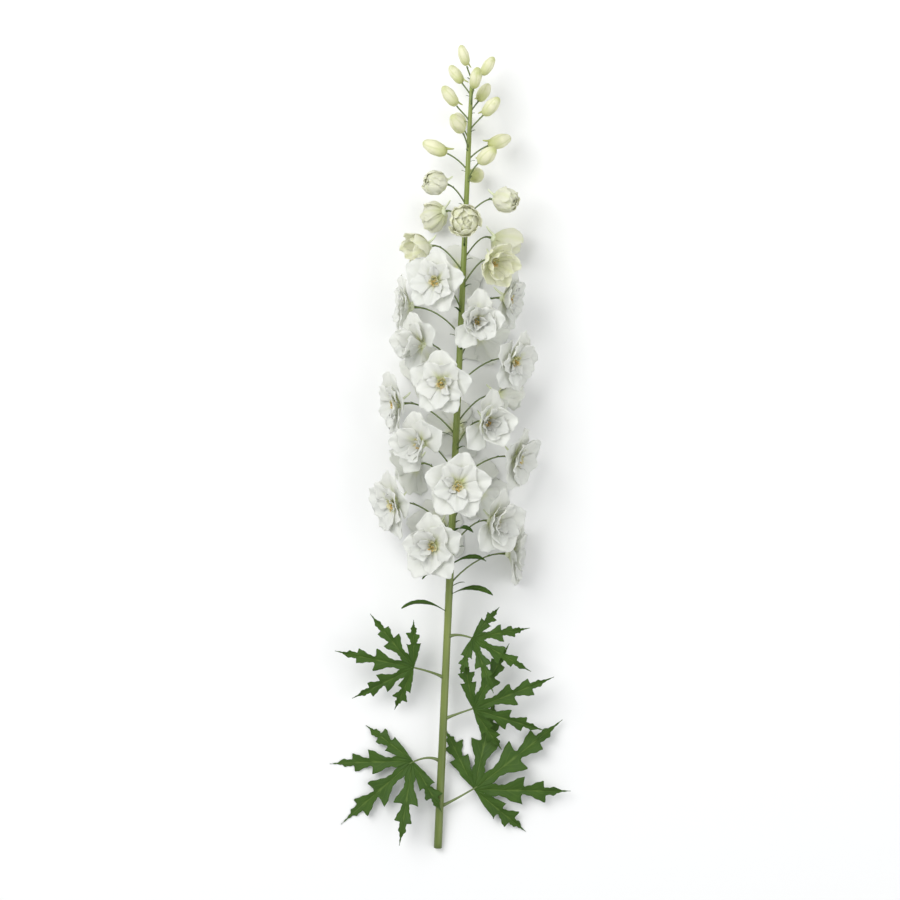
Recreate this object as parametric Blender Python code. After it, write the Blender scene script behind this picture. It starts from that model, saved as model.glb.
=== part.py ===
"""One cut spike of white semi-double delphinium, lying on a table.

The stem lies along +Y with its flower tip at +Y. It rests on its cut end and on its lower
florets, whose petals are pressed flat by the table at z = 0. Open florets clothe the lower part
of the spike, opening ones the next part, and green-white buds the tip. Four lobed leaves
stand on the bare stem below. Every floret keeps to its own share of the crowded space:
petals that would reach past it stand up more steeply, as they do on a living spike.
"""

import math
import random
from collections import namedtuple

import bmesh
import bpy
from mathutils import Vector

SEED = 15
UP = Vector((0, 0, 1))

# The stem: a slope at the cut end, an arch over the florets and a slight lean to the right
STEM_LENGTH = 0.711
STEM_BASE_RADIUS = 0.0037
STEM_TIP_RADIUS = 0.0011
STEM_TAPER = 0.42
STEM_SIDES = 8
STEM_RINGS = 14
CUT_END_X = -0.0113
CUT_END_Y = -0.36886
CUT_END_Z = 0.003666
STEM_RISE = 0.143
STEM_SAG = 0.128
STEM_LEAN = 0.044

# The spiral of flowers: each stands a golden angle round from the one below. Their stalks bend
# a little towards the light above, and the open ones turn their faces to it.
GOLDEN_ANGLE = math.radians(137.5)
LAYER_DEPTH = 0.011
FIRST_TURN = math.radians(110)
FIRST_NODE = 0.245
TURN_TO_LIGHT = 0.15
FACE_TO_LIGHT = 0.5
TURN_PLAY = math.radians(5)
TILT_PLAY = math.radians(7)

# The three kinds, from the lowest up. Each pair is for the first and the last of its kind: step
# along the stem, stalk's rise and reach outwards, flower's length and girth, openness and nod.
Kind = namedtuple("Kind", "kind name count step rise out reach girth openness nod")
KINDS = (
    Kind(
        kind="open",
        name="floret",
        count=24,
        step=(0.0114, 0.0114),
        rise=(0.029, 0.024),
        out=(0.052, 0.044),
        reach=(0.0345, 0.0310),
        girth=(0.0345, 0.0310),
        openness=(1.0, 1.0),
        nod=(10, 10),
    ),
    Kind(
        kind="opening",
        name="opening_floret",
        count=7,
        step=(0.0125, 0.0120),
        rise=(0.022, 0.017),
        out=(0.036, 0.027),
        reach=(0.031, 0.029),
        girth=(0.021, 0.014),
        openness=(0.66, 0.28),
        nod=(18, 4),
    ),
    Kind(
        kind="bud",
        name="bud",
        count=13,
        step=(0.0100, 0.0070),
        rise=(0.016, 0.011),
        out=(0.022, 0.008),
        reach=(0.026, 0.020),
        girth=(0.0070, 0.0047),
        openness=(0.0, 0.0),
        nod=(-15, -68),
    ),
)

# Flower stalks
STALK_RADIUS = 0.0008
STALK_END_RADIUS = 0.0013
STALK_SIDES = 3
STALK_STEPS = 3
JOIN_GAP = 0.0003

# An open floret: two whorls of five petals on a small heart, with a spur behind
WHORL = 5
HEART_SIDES = 5
HEART_PROFILE = ((-0.0046, 0.0019), (-0.0026, 0.0046), (0.0064, 0.0022))
FEWEST_OPENNESS = 0.55
PETAL_THICKNESS = 0.0012
PETAL_ROOT = 0.0024
PETAL_ROOT_WIDTH = 0.13
OUTER_ROWS = (0.0, 0.42, 0.82)
INNER_ROWS = (0.0, 0.66)
WIDEST_AT = 0.62
SPUR_LENGTH = 0.015
SPUR_RADIUS = 0.0015
SPUR_TIP_RADIUS = 0.0007

# The room that a flower has
CLEARANCE = 0.0009
LOWEST_HEART = 0.0088
TABLE_SOFTNESS = 0.003
TABLE_SKIN = 0.00062
INNER_STACK = 0.0022
LAYERING = 4
MOST_LEAN = 1.0
LIFT_STEP = math.radians(4)
MOST_LIFTS = 16
SHRINKS = (1.0, 0.93, 0.86, 0.79, 0.72)

# Leaves: five cut lobes on a stalk
LEAF_THICKNESS = 0.0009
LEAF_STALK_RADIUS = 0.0012
LOBE_TURNS = tuple(math.radians(a) for a in (-78, -39, 0, 39, 78))
LOBE_LENGTHS = (0.60, 0.86, 1.0, 0.86, 0.60)
LOBE_ROWS = ((0.27, 0.070), (0.45, 0.150), (0.51, 0.062), (0.68, 0.105), (0.74, 0.040))
SINUS_RADIUS = 0.17
SINUS_SHARE = 0.33
LEAF_ARCH = 2.6
LEAF_CURL = 2.2
LEAF_FOLD = 0.25

Flower = namedtuple("Flower", "name kind node outward foot face up reach girth openness")
Petal = namedtuple("Petal", "turn length half_width base lift bend wrap cup twist table")
Leaf = namedtuple("Leaf", "name node turn stalk heading pitch roll size")

LEAVES = (
    Leaf("leaf_1", 0.040, 96, 0.030, 38, 6, 8, 0.104),
    Leaf("leaf_2", 0.082, -98, 0.026, 222, 4, -14, 0.090),
    Leaf("leaf_3", 0.122, 78, 0.024, 22, 14, -12, 0.080),
    Leaf("leaf_4", 0.160, -76, 0.026, 168, 10, 16, 0.074),
    Leaf("leaf_5", 0.198, 64, 0.022, -30, 16, 10, 0.062),
)

# Narrow leaves below the lowest florets: node, turn in degrees, length
BRACTS = (
    (0.220, -70, 0.052),
    (0.236, 66, 0.050),
    (0.250, -40, 0.044),
    (0.264, 112, 0.040),
    (0.278, -104, 0.040),
    (0.294, 40, 0.034),
)
BRACT_ROWS = ((0.0, 0.03), (0.3, 0.075), (0.65, 0.080))
BRACT_TWIST = math.radians(62)


def between(start, end, share):
    return start + (end - start) * share


def smooth(x):
    x = min(max(x, 0.0), 1.0)
    return x * x * (3 - 2 * x)


def stem_point(s):
    """The middle of the stem, s metres from the cut end."""
    height = CUT_END_Z + STEM_RISE * s - STEM_SAG * s * s
    return Vector((CUT_END_X + STEM_LEAN * s, CUT_END_Y + s, height))


def stem_along(s):
    return Vector((STEM_LEAN, 1, STEM_RISE - 2 * STEM_SAG * s)).normalized()


def stem_radius(s):
    left = max(1 - s / STEM_LENGTH, 0)
    return STEM_TIP_RADIUS + (STEM_BASE_RADIUS - STEM_TIP_RADIUS) * left**STEM_TAPER


def stem_outward(s, turn):
    """The direction straight out of the stem: turn 0 is up, and a quarter turn is to the right."""
    along = stem_along(s)
    up = (UP - along * UP.dot(along)).normalized()
    return up * math.cos(turn) + along.cross(up) * math.sin(turn)


def pressed(point, table):
    """The point, kept above the table and easing onto it."""
    edge = table + TABLE_SOFTNESS
    if point.z < edge:
        point = point.copy()
        point.z = table + TABLE_SOFTNESS * math.exp((point.z - edge) / TABLE_SOFTNESS)
    return point


def plan_flowers():
    """Where every floret, opening floret and bud stands, from the lowest up."""
    chance = random.Random(SEED)
    flowers = []
    node = FIRST_NODE
    for kind in KINDS:
        for place in range(kind.count):
            share = place / (kind.count - 1)
            flowers.append(plan_flower(kind, place, share, node, len(flowers), chance))
            node += between(*kind.step, share)
    return flowers


def plan_flower(kind, place, share, node, index, chance):
    turn = FIRST_TURN - GOLDEN_ANGLE * index + chance.uniform(-TURN_PLAY, TURN_PLAY)
    turn -= TURN_TO_LIGHT * math.sin(turn)
    nod = math.radians(between(*kind.nod, share)) + chance.uniform(-TILT_PLAY, TILT_PLAY)
    sway = chance.uniform(-TILT_PLAY, TILT_PLAY)
    roll = chance.uniform(-2, 2) * TURN_PLAY
    rise, out = between(*kind.rise, share), between(*kind.out, share)
    along, outward = stem_along(node), stem_outward(node, turn)
    side = outward.cross(along)
    face = outward * math.cos(nod) - along * math.sin(nod)
    face = face * math.cos(sway) + side * math.sin(sway)
    if kind.kind != "bud":
        face += UP * FACE_TO_LIGHT * (1 - abs(outward.z))
    face.normalize()
    up = (along - face * along.dot(face)).normalized()
    up = up * math.cos(roll) + face.cross(up) * math.sin(roll)
    start = stem_point(node)
    reach = between(*kind.reach, share)
    lowest = LOWEST_HEART
    if kind.kind == "open":
        out += LAYER_DEPTH / 2 * (-1) ** index
    if kind.kind == "bud":
        lowest += max(-face.z, 0) * reach
    if outward.z < 0:
        room = start.z + along.z * rise - lowest
        out = min(out, room / -outward.z)
    return Flower(
        name=f"{kind.name}_{place + 1:02d}",
        kind=kind.kind,
        node=node,
        outward=outward,
        foot=start + along * rise + outward * out,
        face=face,
        up=up,
        reach=reach,
        girth=between(*kind.girth, share),
        openness=between(*kind.openness, share),
    )


def middle(flower):
    """The middle of the space that a flower fills."""
    depth = {"open": 0.005, "opening": flower.reach * 0.42, "bud": flower.reach * 0.5}
    return flower.foot + flower.face * depth[flower.kind]


def wall_direction(flower, other, gap):
    """Square to the gap between two flowers, but leaning where one stands further out, so that
    the petals of the outer flower may lie over those of the inner one."""
    radial = flower.outward + other.outward
    if radial.length < 1.2:
        return gap.normalized()
    radial.normalize()
    depth = gap.dot(radial)
    level = gap - radial * depth
    lean = min(max(LAYERING * depth / level.length, -MOST_LEAN), MOST_LEAN)
    return (level.normalized() + radial * lean).normalized()


def walls_round(flower, flowers):
    """The flat walls of a flower's share of the space, as (direction, distance) from its middle."""
    walls = []
    here = middle(flower)
    for other in flowers:
        gap = middle(other) - here
        if other is flower or gap.length > 0.1:
            continue
        share = flower.girth / (flower.girth + other.girth)
        way = wall_direction(flower, other, gap)
        walls.append((way, gap.dot(way) * share - CLEARANCE))
    return walls


def petal_width(petal, t):
    grown = between(PETAL_ROOT_WIDTH, 1.0, smooth(t / WIDEST_AT))
    past = max(t - WIDEST_AT, 0) / (1 - WIDEST_AT)
    return petal.half_width * grown * math.sqrt(max(1 - past**2.2, 0))


def petal_point(flower, petal, t, v):
    """A point of a petal's middle surface: t runs from root to tip, v from edge to edge."""
    right = flower.up.cross(flower.face)
    out = right * math.cos(petal.turn) + flower.up * math.sin(petal.turn)
    side = flower.face.cross(out)
    length = petal.length - PETAL_ROOT
    first, last = petal.lift + petal.bend / 2, petal.lift + petal.bend / 2 - petal.bend * t
    reach = PETAL_ROOT + length * (math.sin(first) - math.sin(last)) / petal.bend
    height = petal.base + length * (math.cos(last) - math.cos(first)) / petal.bend
    over = flower.face * math.cos(last) - out * math.sin(last)
    across = v * petal_width(petal, t)
    curl = max(reach, petal.half_width) / petal.wrap
    angle = across / curl
    point = flower.foot + out * (reach - curl * (1 - math.cos(angle))) + flower.face * height
    point += side * curl * math.sin(angle)
    point += over * (petal.cup * v * v * petal.half_width * t)
    point += over * math.sin(petal.twist) * across * t
    return pressed(point, petal.table)


def whorls(flower):
    """The nominal outer and inner petals of an open or opening flower."""
    chance = random.Random(f"{SEED} {flower.name}")
    openness = flower.openness
    facing_down = max(-flower.face.z, 0)
    petals = []
    for inner in (False, True):
        if inner and openness < FEWEST_OPENNESS:
            continue
        for place in range(WHORL):
            turn = math.radians(90 + (36 if inner else 0) + 72 * place + chance.uniform(-5, 5))
            lift = between(110, 15, openness) + (11 if inner else 0) + chance.uniform(-5, 5)
            bend = between(-185, 26, openness) + chance.uniform(-6, 6)
            size = (0.78 if inner else 1.0) * chance.uniform(0.95, 1.03)
            width = between(0.27, 0.375, openness) * (0.92 if inner else 1.0)
            petals.append(
                Petal(
                    turn=turn,
                    length=flower.reach * size,
                    half_width=flower.reach * size * width,
                    base=0.0012 if inner else -0.0012,
                    lift=math.radians(lift),
                    bend=math.radians(bend),
                    wrap=between(0.95, 0.3, openness),
                    cup=between(0.0, 0.16, openness),
                    twist=math.radians(chance.uniform(2, 9)),
                    table=TABLE_SKIN + (0 if inner else INNER_STACK * facing_down),
                )
            )
    return petals


def fits(flower, petal, walls):
    """Whether the petal's outline stays within the walls round its flower."""
    here = middle(flower)
    places = [(t, v) for t in OUTER_ROWS[1:] for v in (-1, 0, 1)]
    places += [(0.93, -0.8), (0.93, 0.8), (1, 0)]
    points = [petal_point(flower, petal, t, v) for t, v in places]
    return all((p - here).dot(way) <= far for p in points for way, far in walls)


def fitted(flower, petal, walls, least_lift=0.0):
    """The petal, raised and if need be shortened until it stays within its flower's share."""
    for shrink in SHRINKS:
        for step in range(MOST_LIFTS):
            tried = petal._replace(
                length=petal.length * shrink,
                half_width=petal.half_width * (0.5 + 0.5 * shrink),
                lift=petal.lift + least_lift + step * LIFT_STEP,
            )
            if fits(flower, tried, walls):
                return tried
    return tried


def flower_petals(flower, flowers):
    """The fitted petals: an inner petal rises at least as far as the outer ones beside it."""
    walls = walls_round(flower, flowers)
    nominal = whorls(flower)
    outer = [fitted(flower, p, walls) for p in nominal[:WHORL]]
    rises = [now.lift - then.lift for now, then in zip(outer, nominal)]
    inner = []
    for place, petal in enumerate(nominal[WHORL:]):
        least = 0.8 * max(rises[place], rises[(place + 1) % WHORL])
        inner.append(fitted(flower, petal, walls, least))
    return outer + inner


def new_object(name, shape):
    mesh = bpy.data.meshes.new(name)
    bmesh.ops.recalc_face_normals(shape, faces=shape.faces)
    shape.to_mesh(mesh)
    shape.free()
    thing = bpy.data.objects.new(name, mesh)
    bpy.context.scene.collection.objects.link(thing)
    return thing


def blade(name, rows, tip, thickness):
    """A lens-shaped blade: rows of (left, middle, right) points from its root, then its tip."""
    shape = bmesh.new()
    rings = []
    for place, (left, centre, right) in enumerate(rows):
        ahead = rows[place + 1][1] if place + 1 < len(rows) else tip
        behind = rows[place - 1][1] if place else centre
        normal = (ahead - behind).cross(left - right).normalized() * thickness / 2
        rings.append([shape.verts.new(p) for p in (left, centre + normal, right, centre - normal)])
    point = shape.verts.new(tip)
    for low, high in zip(rings, rings[1:]):
        for a in range(4):
            b = (a + 1) % 4
            edge, ridge = (a, b) if a % 2 == 0 else (b, a)
            shape.faces.new((low[edge], low[ridge], high[ridge]))
            shape.faces.new((low[edge], high[ridge], high[edge]))
    for a in range(4):
        shape.faces.new((rings[-1][a], rings[-1][(a + 1) % 4], point))
    shape.faces.new((rings[0][0], rings[0][1], rings[0][3]))
    shape.faces.new((rings[0][1], rings[0][2], rings[0][3]))
    return new_object(name, shape)


def tube(name, points, radii, sides, first_side=UP, start_along=None, end_along=None):
    """A closed tube of flat sides through the points; its end faces may be turned."""
    shape = bmesh.new()
    rings = []
    for place, (point, radius) in enumerate(zip(points, radii)):
        ahead = points[min(place + 1, len(points) - 1)]
        behind = points[max(place - 1, 0)]
        along = (ahead - behind).normalized()
        if place == 0 and start_along:
            along = start_along
        if place == len(points) - 1 and end_along:
            along = end_along
        across = (first_side - along * first_side.dot(along)).normalized()
        beside = along.cross(across)
        turns = [2 * math.pi * side / sides for side in range(sides)]
        ring = [point + (across * math.cos(a) + beside * math.sin(a)) * radius for a in turns]
        rings.append([shape.verts.new(p) for p in ring])
    for low, high in zip(rings, rings[1:]):
        for a in range(sides):
            b = (a + 1) % sides
            shape.faces.new((low[a], low[b], high[b], high[a]))
    shape.faces.new(rings[0])
    shape.faces.new(rings[-1])
    return new_object(name, shape)


def fuse(base, pieces):
    """Joins the pieces to the base as one body, and removes them."""
    group = bpy.data.collections.new(base.name + "_pieces")
    bpy.context.scene.collection.children.link(group)
    for piece in pieces:
        bpy.context.scene.collection.objects.unlink(piece)
        group.objects.link(piece)
    join = base.modifiers.new("join", "BOOLEAN")
    join.operation = "UNION"
    join.operand_type = "COLLECTION"
    join.solver = "EXACT"
    join.collection = group
    graph = bpy.context.evaluated_depsgraph_get()
    base.data = bpy.data.meshes.new_from_object(base.evaluated_get(graph))
    base.modifiers.clear()
    for piece in pieces:
        bpy.data.objects.remove(piece)
    bpy.data.collections.remove(group)
    return base


def material(name, colour, roughness):
    made = bpy.data.materials.new(name)
    made.use_nodes = True
    shader = made.node_tree.nodes["Principled BSDF"]
    shader.inputs["Base Color"].default_value = (*colour, 1)
    shader.inputs["Roughness"].default_value = roughness
    shader.inputs["Metallic"].default_value = 0
    return made


def paint(thing, finish):
    thing.data.materials.clear()
    thing.data.materials.append(finish)


def petal_blade(flower, petal, place):
    steps = OUTER_ROWS if place < WHORL else INNER_ROWS
    rows = [[petal_point(flower, petal, t, v) for v in (-1, 0, 1)] for t in steps]
    tip = petal_point(flower, petal, 1, 0)
    return blade(f"{flower.name}_petal_{place}", rows, tip, PETAL_THICKNESS)


def make_heart(flower):
    """The receptacle at the back of a flower and the tight boss in the middle of its face."""
    size = between(0.72, 1.0, flower.openness)
    points = [flower.foot + flower.face * along * size for along, _ in HEART_PROFILE]
    radii = [radius * size for _, radius in HEART_PROFILE]
    return tube(flower.name, points, radii, HEART_SIDES, flower.up)


def make_spur(flower):
    """The hollow spur behind the top petal, bowed a little towards the stem's tip."""
    length = SPUR_LENGTH * between(0.8, 1.0, flower.openness)
    start = flower.foot + flower.up * 0.0032
    half = start - flower.face * length * 0.50 + flower.up * length * 0.16
    end = start - flower.face * length * 0.88 + flower.up * length * 0.42
    radii = (SPUR_RADIUS, between(SPUR_TIP_RADIUS, SPUR_RADIUS, 0.6), SPUR_TIP_RADIUS)
    return tube(flower.name + "_spur", (start, half, end), radii, STALK_SIDES, flower.face)


def make_floret(flower, flowers, finish):
    heart = make_heart(flower)
    petals = flower_petals(flower, flowers)
    pieces = [petal_blade(flower, petal, place) for place, petal in enumerate(petals)]
    fuse(heart, pieces + [make_spur(flower)])
    paint(heart, finish)


def make_bud(flower, finish):
    """A closed bud: a plump body, narrow at its stalk and pointed at its tip."""
    profile = ((0.0, 0.30), (0.22, 0.86), (0.55, 1.0), (0.84, 0.66), (1.0, 0.18))
    points = [flower.foot + flower.face * flower.reach * along for along, _ in profile]
    radii = [flower.girth * radius for _, radius in profile]
    paint(tube(flower.name, points, radii, HEART_SIDES, flower.up), finish)


def stalk_end(flower):
    """Where a flower's stalk stops, just short of the flower."""
    back = 0 if flower.kind == "bud" else -HEART_PROFILE[0][0] * between(0.72, 1.0, flower.openness)
    return flower.foot - flower.face * (back + JOIN_GAP)


def make_stalk(flower):
    start = stem_point(flower.node) - flower.outward * stem_radius(flower.node) * 0.25
    end = stalk_end(flower)
    span = (end - start).length
    along = stem_along(flower.node)
    leaving = start + (flower.outward * 0.62 + along * 0.78) * span * 0.36
    arriving = end - flower.face * span * 0.30
    steps = STALK_STEPS - 1 if flower.kind == "bud" else STALK_STEPS
    points = []
    for step in range(steps + 1):
        t = step / steps
        u = 1 - t
        points.append(
            start * u**3 + leaving * 3 * u * u * t + arriving * 3 * u * t * t + end * t**3
        )
    radii = [STALK_RADIUS] * steps
    radii.append(STALK_RADIUS if flower.kind == "bud" else STALK_END_RADIUS)
    name = flower.name + "_stalk"
    return tube(name, points, radii, STALK_SIDES, flower.up, end_along=flower.face)


def bract_point(node, turn, length, t, across):
    """A point of a narrow leaf that arches out and down, and turns its face to the light."""
    outward, along = stem_outward(node, math.radians(turn)), stem_along(node)
    middle = stem_point(node) + outward * (stem_radius(node) * 0.4 + length * t * (1 - 0.15 * t))
    middle += along * length * (0.62 * t - 0.55 * t * t)
    twist = BRACT_TWIST * smooth(t / 0.6)
    side = outward.cross(along)
    back = (outward * 0.7 - along * 0.5).cross(side)
    return pressed(middle + (side * math.cos(twist) + back * math.sin(twist)) * across, TABLE_SKIN)


def make_bract(place, node, turn, length):
    rows = []
    for t, width in BRACT_ROWS:
        reach = width * length
        rows.append([bract_point(node, turn, length, t, a) for a in (-reach, 0, reach)])
    tip = bract_point(node, turn, length, 1, 0)
    return blade(f"bract_{place}", rows, tip, LEAF_THICKNESS)


def make_stem(flowers, finish):
    """The stem with every flower stalk and the narrow leaves, grown as one piece."""
    places = [STEM_LENGTH * ring / (STEM_RINGS - 1) for ring in range(STEM_RINGS)]
    points = [stem_point(s) for s in places]
    radii = [stem_radius(s) for s in places]
    stem = tube("stem", points, radii, STEM_SIDES)
    stalks = [make_stalk(flower) for flower in flowers]
    bracts = [make_bract(place, *bract) for place, bract in enumerate(BRACTS)]
    fuse(stem, stalks + bracts)
    paint(stem, finish)


def leaf_surface_point(hub, leaf, distance, turn, aside=0.0):
    """A point of a leaf's arched blade, distance from its hub along a lobe, aside from its rib."""
    heading = math.radians(leaf.heading)
    way = heading - turn
    offset = Vector((math.cos(way), math.sin(way), 0)) * distance
    offset += Vector((math.sin(way), -math.cos(way), 0)) * aside
    ahead = offset.dot(Vector((math.cos(heading), math.sin(heading), 0)))
    across = offset.dot(Vector((math.sin(heading), -math.cos(heading), 0)))
    offset.z = ahead * math.tan(math.radians(leaf.pitch)) + across * math.tan(math.radians(leaf.roll))
    curl = LEAF_CURL * math.sin(3 * (turn + math.atan2(aside, distance)) + heading)
    offset.z += LEAF_FOLD * abs(aside) - (LEAF_ARCH - curl) * distance * distance
    return pressed(hub + offset, TABLE_SKIN)


def leaf_sheet(leaf, hub):
    """The flat outline of five toothed lobes joined round the hub, as one open sheet."""
    shape = bmesh.new()
    size = leaf.size
    centre = shape.verts.new(pressed(hub, TABLE_SKIN))
    half_gap = (LOBE_TURNS[1] - LOBE_TURNS[0]) / 2
    sinus_turns = [turn - half_gap for turn in LOBE_TURNS] + [LOBE_TURNS[-1] + half_gap]
    sinuses = [
        shape.verts.new(leaf_surface_point(hub, leaf, SINUS_RADIUS * size, turn))
        for turn in sinus_turns
    ]
    for lobe, (turn, share) in enumerate(zip(LOBE_TURNS, LOBE_LENGTHS)):
        length = size * share
        start = shape.verts.new(leaf_surface_point(hub, leaf, SINUS_RADIUS * size * 0.8, turn))
        row = (sinuses[lobe], start, sinuses[lobe + 1])
        shape.faces.new((centre, row[1], row[0]))
        shape.faces.new((centre, row[2], row[1]))
        for along, width in LOBE_ROWS:
            reach = length * along
            aside = min(width * size * between(0.8, 1.0, share), reach * SINUS_SHARE)
            tooth = reach + (0.05 * length if width >= 0.1 else 0)
            following = (
                shape.verts.new(leaf_surface_point(hub, leaf, tooth, turn, -aside)),
                shape.verts.new(leaf_surface_point(hub, leaf, reach, turn)),
                shape.verts.new(leaf_surface_point(hub, leaf, tooth, turn, aside)),
            )
            for a, b in ((0, 1), (1, 2)):
                shape.faces.new((row[a], row[b], following[b]))
                shape.faces.new((row[a], following[b], following[a]))
            row = following
        tip = shape.verts.new(leaf_surface_point(hub, leaf, length, turn))
        shape.faces.new((row[0], row[1], tip))
        shape.faces.new((row[1], row[2], tip))
    bmesh.ops.recalc_face_normals(shape, faces=shape.faces)
    return shape


def make_leaf(leaf, finish):
    outward = stem_outward(leaf.node, math.radians(leaf.turn))
    along = stem_along(leaf.node)
    heading = math.radians(leaf.heading)
    away = Vector((math.cos(heading), math.sin(heading), 0))
    start = stem_point(leaf.node) + outward * (stem_radius(leaf.node) + JOIN_GAP)
    hub = start + (outward + along * 0.4) * leaf.stalk * 0.6 + away * leaf.stalk * 0.45
    hub.z = max(hub.z, 0.006)
    sheet = leaf_sheet(leaf, hub)
    lower = list(sheet.faces)
    raised = bmesh.ops.extrude_face_region(sheet, geom=lower)
    tops = [v for v in raised["geom"] if isinstance(v, bmesh.types.BMVert)]
    bmesh.ops.translate(sheet, vec=UP * LEAF_THICKNESS, verts=tops)
    bmesh.ops.triangulate(sheet, faces=sheet.faces)
    thing = new_object(leaf.name, sheet)
    bend = start + (outward + along * 0.5) * leaf.stalk * 0.4
    sunk = hub + away * 0.004 + UP * LEAF_THICKNESS * 0.4
    radii = [LEAF_STALK_RADIUS * 1.3, LEAF_STALK_RADIUS, LEAF_STALK_RADIUS * 0.9]
    stalk = tube(leaf.name + "_stalk", (start, bend, sunk), radii, STALK_SIDES, along, outward)
    fuse(thing, [stalk])
    paint(thing, finish)


def main():
    for thing in list(bpy.data.objects):
        bpy.data.objects.remove(thing)
    white = material("petal_white", (0.84, 0.85, 0.82), 0.55)
    pale_green = material("bud_green_white", (0.72, 0.78, 0.52), 0.5)
    stem_green = material("stem_green", (0.16, 0.27, 0.06), 0.5)
    leaf_green = material("leaf_green", (0.07, 0.16, 0.035), 0.55)
    flowers = plan_flowers()
    make_stem(flowers, stem_green)
    for flower in flowers:
        if flower.kind == "bud":
            make_bud(flower, pale_green)
        else:
            make_floret(flower, flowers, white)
    for leaf in LEAVES:
        make_leaf(leaf, leaf_green)


main()
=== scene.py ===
import math
import random
from collections import namedtuple

import bmesh
import bpy
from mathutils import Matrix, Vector


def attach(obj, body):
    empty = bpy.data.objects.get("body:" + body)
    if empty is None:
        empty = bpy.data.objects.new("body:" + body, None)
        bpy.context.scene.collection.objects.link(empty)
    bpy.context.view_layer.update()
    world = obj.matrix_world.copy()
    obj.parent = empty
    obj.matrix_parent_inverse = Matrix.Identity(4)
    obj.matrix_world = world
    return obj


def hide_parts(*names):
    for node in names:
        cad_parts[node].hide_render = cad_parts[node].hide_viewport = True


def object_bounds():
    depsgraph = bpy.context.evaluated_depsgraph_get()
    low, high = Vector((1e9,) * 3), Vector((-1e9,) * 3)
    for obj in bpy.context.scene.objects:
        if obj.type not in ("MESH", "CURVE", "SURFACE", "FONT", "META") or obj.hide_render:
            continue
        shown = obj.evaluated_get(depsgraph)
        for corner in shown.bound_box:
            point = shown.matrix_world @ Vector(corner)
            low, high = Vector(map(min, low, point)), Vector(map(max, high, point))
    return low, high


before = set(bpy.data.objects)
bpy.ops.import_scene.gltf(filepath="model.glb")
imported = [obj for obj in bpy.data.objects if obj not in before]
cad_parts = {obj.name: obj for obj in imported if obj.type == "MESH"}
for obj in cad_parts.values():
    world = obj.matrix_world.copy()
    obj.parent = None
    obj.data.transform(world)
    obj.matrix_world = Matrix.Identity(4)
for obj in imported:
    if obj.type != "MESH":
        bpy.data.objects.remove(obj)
cad_low, cad_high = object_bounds()

# The stem: a hollow green stalk, yellow-green among the buds and darker at the cut end, with
# shallow ribs. It bends down to the table at its cut end and arches over the flowers that
# carry it. Its line and the spiral of flowers on it are the ones that the solids have.

SEED = 15
UP = Vector((0, 0, 1))
STEM_LENGTH = 0.711
STEM_BASE_RADIUS = 0.0037
STEM_TIP_RADIUS = 0.0011
STEM_TAPER = 0.42
CUT_END = Vector((-0.0113, -0.36886, 0.003666))
STEM_RISE = 0.143
STEM_SAG = 0.128
STEM_LEAN = 0.044
GOLDEN_ANGLE = math.radians(137.5)
LAYER_DEPTH = 0.011
FIRST_TURN = math.radians(110)
FIRST_NODE = 0.245
TURN_TO_LIGHT = 0.15
FACE_TO_LIGHT = 0.5
TURN_PLAY = math.radians(5)
TILT_PLAY = math.radians(7)
LOWEST_HEART = 0.0088
HEART_BACK = 0.0046
JOIN_GAP = 0.0003
TABLE_SOFTNESS = 0.003
TABLE_SKIN = 0.00062

# The three kinds of flower from the lowest up. Each pair is for the first and the last of its
# kind: step along the stem, stalk's rise and reach outwards, flower's length and so on.
Kind = namedtuple("Kind", "kind name count step rise out reach girth openness nod")
KINDS = (
    Kind(
        kind="open",
        name="floret",
        count=24,
        step=(0.0114, 0.0114),
        rise=(0.029, 0.024),
        out=(0.052, 0.044),
        reach=(0.0345, 0.0310),
        girth=(0.0345, 0.0310),
        openness=(1.0, 1.0),
        nod=(10, 10),
    ),
    Kind(
        kind="opening",
        name="opening_floret",
        count=7,
        step=(0.0125, 0.0120),
        rise=(0.022, 0.017),
        out=(0.036, 0.027),
        reach=(0.031, 0.029),
        girth=(0.021, 0.014),
        openness=(0.66, 0.28),
        nod=(18, 4),
    ),
    Kind(
        kind="bud",
        name="bud",
        count=13,
        step=(0.0100, 0.0070),
        rise=(0.016, 0.011),
        out=(0.022, 0.008),
        reach=(0.026, 0.020),
        girth=(0.0070, 0.0047),
        openness=(0.0, 0.0),
        nod=(-15, -68),
    ),
)
Flower = namedtuple("Flower", "name kind node outward foot face up reach girth openness")


def between(start, end, share):
    return start + (end - start) * share


def smooth(x):
    x = min(max(x, 0.0), 1.0)
    return x * x * (3 - 2 * x)


def stem_point(s):
    """The middle of the stem, s metres from the cut end."""
    return CUT_END + Vector((STEM_LEAN * s, s, STEM_RISE * s - STEM_SAG * s * s))


def stem_along(s):
    return Vector((STEM_LEAN, 1, STEM_RISE - 2 * STEM_SAG * s)).normalized()


def stem_radius(s):
    left = max(1 - s / STEM_LENGTH, 0)
    return STEM_TIP_RADIUS + (STEM_BASE_RADIUS - STEM_TIP_RADIUS) * left**STEM_TAPER


def stem_outward(s, turn):
    """The direction straight out of the stem: turn 0 is up, and a quarter turn is to the right."""
    along = stem_along(s)
    up = (UP - along * UP.dot(along)).normalized()
    return up * math.cos(turn) + along.cross(up) * math.sin(turn)


def pressed(point, table):
    """The point, kept above the table and easing onto it."""
    edge = table + TABLE_SOFTNESS
    if point.z < edge:
        point = point.copy()
        point.z = table + TABLE_SOFTNESS * math.exp((point.z - edge) / TABLE_SOFTNESS)
    return point


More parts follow.
